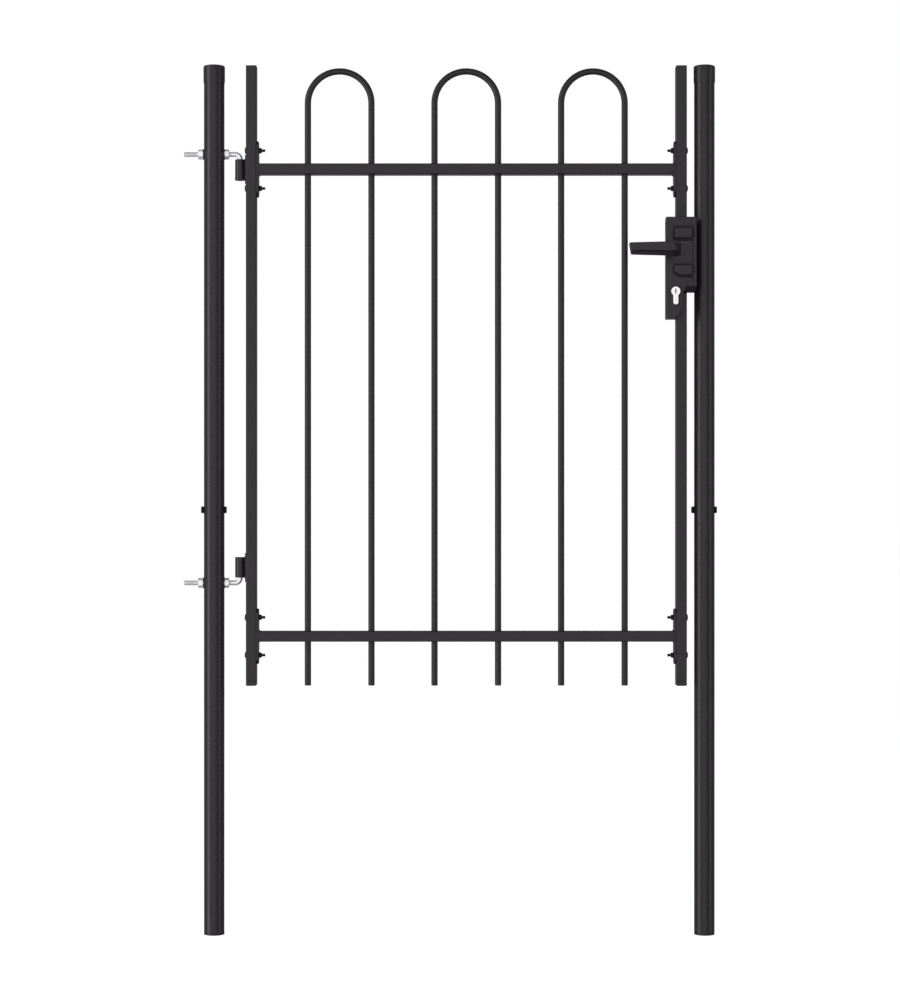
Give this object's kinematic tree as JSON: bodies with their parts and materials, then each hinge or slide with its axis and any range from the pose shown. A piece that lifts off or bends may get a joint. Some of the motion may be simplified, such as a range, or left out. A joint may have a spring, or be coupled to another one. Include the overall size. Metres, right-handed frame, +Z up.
{
  "type": "arched steel pedestrian gate with posts",
  "caption": "Pedestrian gate of round hooped bars in a steel tube frame, hung on two hook hinges between round posts, with a lock, cylinder, lever handle and rear knob.",
  "frame": {"origin": "centre of the flat face under the hinge post's foot", "axes": "+Z up along the posts, +X from the hinge post to the latch post, +Y to the far side; the leaf opens towards -Y"},
  "size_m": [1.0403, 0.132, 1.702],
  "materials": {
    "black_coat": "satin black powder coat with a fine orange-peel texture",
    "black_plastic": "moulded black polyethylene",
    "lock_black": "fine-textured black coat on die-cast parts",
    "zinc": "bright zinc plating",
    "nickel": "satin nickel"
  },
  "bodies": {
    "posts": {"hinge_post": "black_coat", "latch_post": "black_coat", "hinge_post_cap": "black_plastic", "latch_post_cap": "black_plastic", "hinge_post_foot": "black_plastic", "latch_post_foot": "black_plastic", "top_hook": "zinc", "bottom_hook": "zinc", "hook_nuts": "zinc", "hook_washers": "zinc", "hook_saddles": "black_plastic", "strike": "black_coat"},
    "leaf": {"hinge_upright": "black_coat", "latch_upright": "black_coat", "upright_top_caps": "black_plastic", "upright_bottom_caps": "black_plastic", "top_rail": "black_coat", "bottom_rail": "black_coat", "top_rail_plates": "black_coat", "bottom_rail_plates": "black_coat", "hoop_1": "black_coat", "hoop_2": "black_coat", "hoop_3": "black_coat", "top_sleeve": "black_coat", "bottom_sleeve": "black_coat", "sleeve_plates": "black_coat", "lock_case": "black_coat", "front_cover": "lock_black", "rear_cover": "lock_black", "rear_knob": "lock_black", "profile_cylinder": "nickel", "latch_bolt": "zinc", "dead_bolt": "zinc"},
    "lever": {"front_lever": "lock_black", "spindle": "zinc"}
  },
  "joints": [
    {"name": "leaf_swing", "type": "hinge", "parent": "posts", "child": "leaf", "pos_m": [0.051, 0, 0.487], "axis": [0, 0, -1], "range_deg": [0, 90]},
    {"name": "lever_turn", "type": "hinge", "parent": "leaf", "child": "lever", "pos_m": [0.9, 0, 1.3345], "axis": [0, -1, 0], "range_deg": [0, 40], "stiffness_Nm_per_rad": 1, "springref_deg": -22.92}
  ]
}
